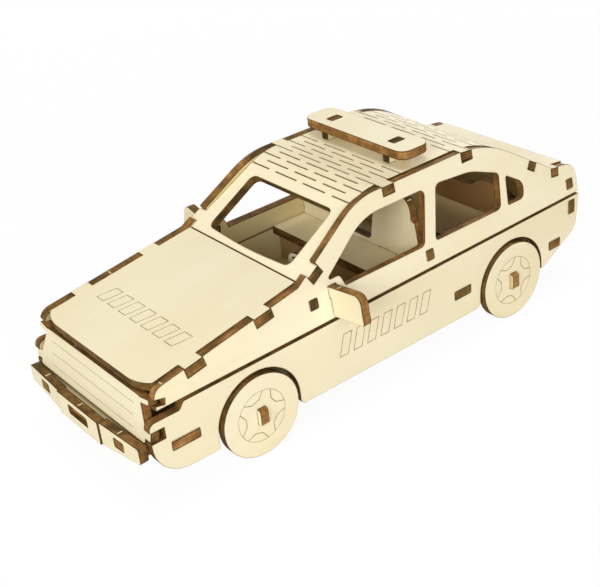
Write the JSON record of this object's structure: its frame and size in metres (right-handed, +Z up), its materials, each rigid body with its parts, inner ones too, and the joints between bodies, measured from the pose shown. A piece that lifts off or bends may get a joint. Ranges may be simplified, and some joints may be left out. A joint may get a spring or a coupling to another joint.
{
  "type": "wooden puzzle car",
  "caption": "Slot-and-tab plywood model car with leaning upper sides, a kerf-bent roof shell, seats, a roof light bar and keyed axles that roll.",
  "frame": {"origin": "middle of the car's footprint on the ground it stands on", "axes": "+Z up, nose towards -Y, left side of the car at +X"},
  "size_m": [0.0947, 0.1878, 0.0723],
  "materials": {
    "birch_ply": "bare pale plywood faces with burnt brown cut edges",
    "birch_ply_inside": "bare plywood inside and under the car",
    "birch_ply_wheel": "bare plywood wheel discs with an engraved star"
  },
  "bodies": {
    "car_body": {"side_lower_left": "birch_ply", "side_lower_right": "birch_ply", "side_upper_left": "birch_ply", "side_upper_right": "birch_ply", "mirror_left": "birch_ply", "mirror_right": "birch_ply", "bonnet": "birch_ply", "roof_shell": "birch_ply", "boot_lid": "birch_ply", "tail_panel": "birch_ply", "grille_panel": "birch_ply", "bumper_middle": "birch_ply", "bumper_left": "birch_ply", "bumper_right": "birch_ply", "steering_wheel": "birch_ply", "front_seat_back": "birch_ply", "front_seat_base": "birch_ply", "rear_bench": "birch_ply", "rear_seat_back": "birch_ply", "light_bar": "birch_ply", "floor_sheet": "birch_ply_inside", "axle_bearer_front_left": "birch_ply_inside", "axle_bearer_front_right": "birch_ply_inside", "axle_bearer_rear_left": "birch_ply_inside", "axle_bearer_rear_right": "birch_ply_inside", "dashboard": "birch_ply_inside", "steering_column": "birch_ply_inside", "front_seat_riser": "birch_ply_inside", "rear_bench_riser": "birch_ply_inside", "light_bar_foot_left": "birch_ply_inside", "light_bar_foot_right": "birch_ply_inside"},
    "front_axle": {"axle_front": "birch_ply_inside", "wheel_front_left": "birch_ply_wheel", "wheel_front_right": "birch_ply_wheel"},
    "rear_axle": {"axle_rear": "birch_ply_inside", "wheel_rear_left": "birch_ply_wheel", "wheel_rear_right": "birch_ply_wheel"}
  },
  "joints": [
    {"name": "front_axle_spin", "type": "hinge", "parent": "car_body", "child": "front_axle", "pos_m": [0, -0.05111, 0.014], "axis": [1, 0, 0], "continuous": true},
    {"name": "rear_axle_spin", "type": "hinge", "parent": "car_body", "child": "rear_axle", "pos_m": [0, 0.05889, 0.014], "axis": [1, 0, 0], "continuous": true}
  ]
}
